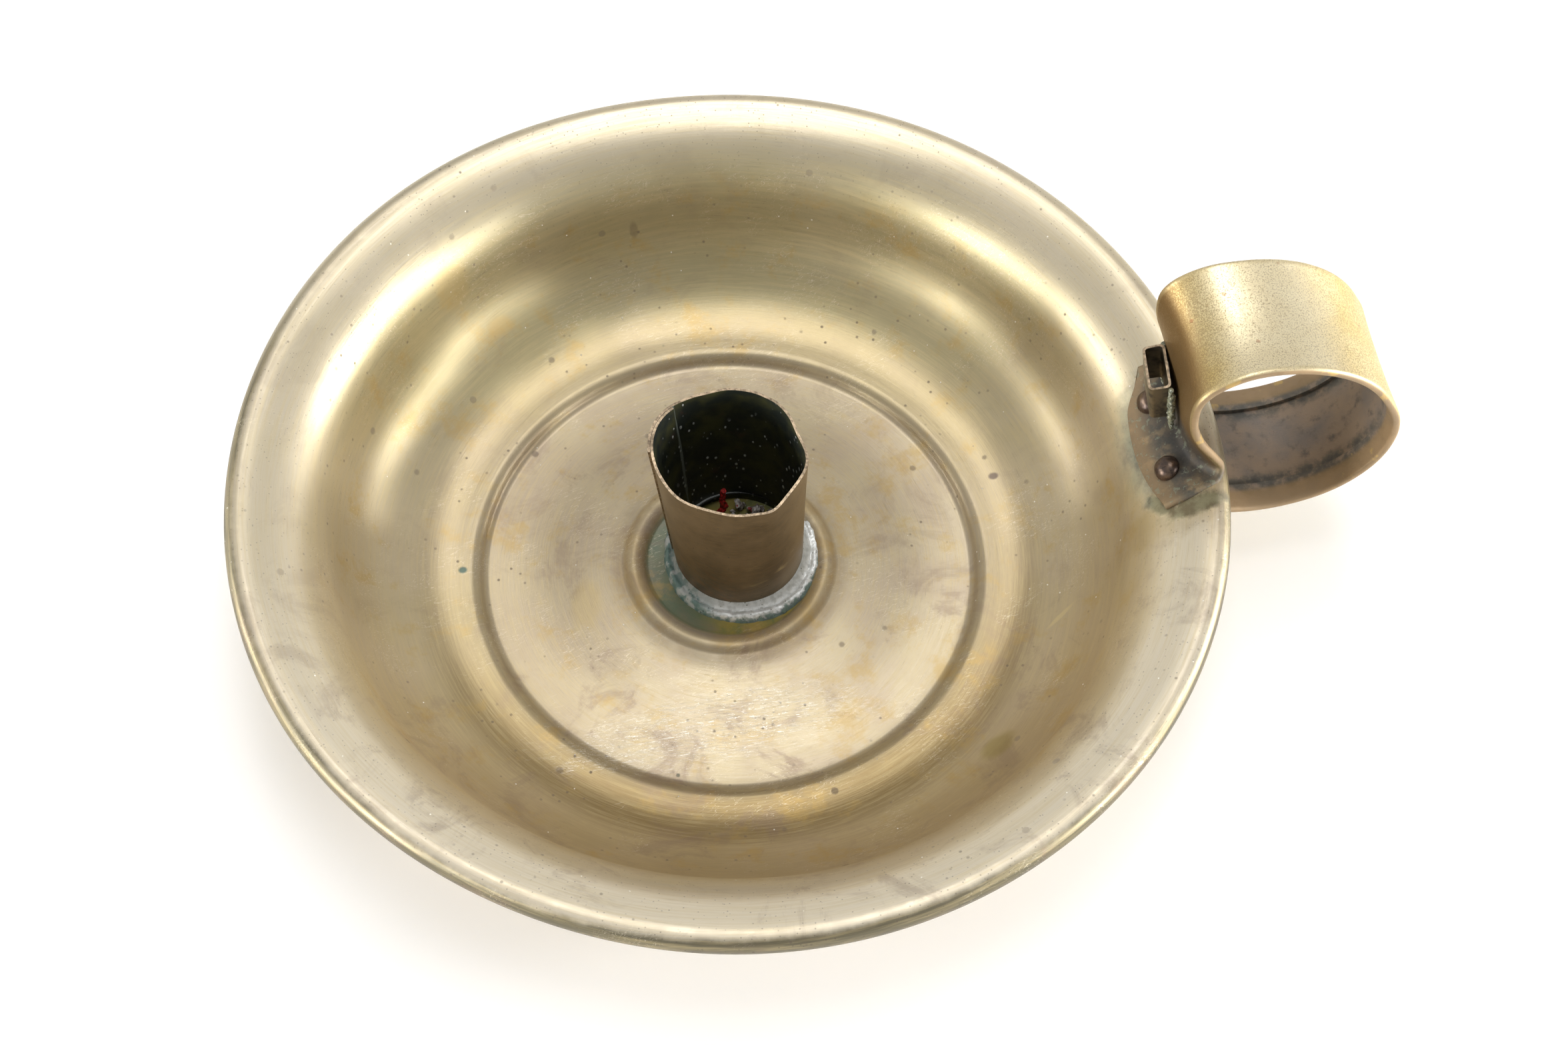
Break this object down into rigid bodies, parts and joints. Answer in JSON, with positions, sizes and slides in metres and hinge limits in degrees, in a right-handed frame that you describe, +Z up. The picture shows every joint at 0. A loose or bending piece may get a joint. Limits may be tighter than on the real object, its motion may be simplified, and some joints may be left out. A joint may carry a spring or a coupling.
{
  "type": "chamber candlestick",
  "caption": "Shallow round brass pan with a rolled rim, a central candle tube soldered in, and a strap finger loop riveted to the flare with a snuffer sleeve.",
  "frame": {"origin": "on the pan's axis, in the plane it rests on", "axes": "+Z up along the pan's axis, +X towards the finger loop, +Y to its left"},
  "size_m": [0.1823, 0.155, 0.055],
  "materials": {
    "pan_brass": "aged satin",
    "rim_steel": "dull drawn wire",
    "tube_brass": "dark brown patina",
    "tin_solder": "bright lumpy solder",
    "strap_brass": "handled satin with dark specks",
    "rivet_brass": "dark tarnish",
    "sleeve_brass": "dull thin sheet",
    "tarnished_solder": "grey green crust"
  },
  "bodies": {
    "root": {"pan": "pan_brass", "rim_wire": "rim_steel", "nozzle_tube": "tube_brass", "nozzle_solder": "tin_solder", "handle_strap": "strap_brass", "handle_rivets": "rivet_brass", "snuffer_sleeve": "sleeve_brass", "sleeve_solder": "tarnished_solder"}
  },
  "joints": []
}
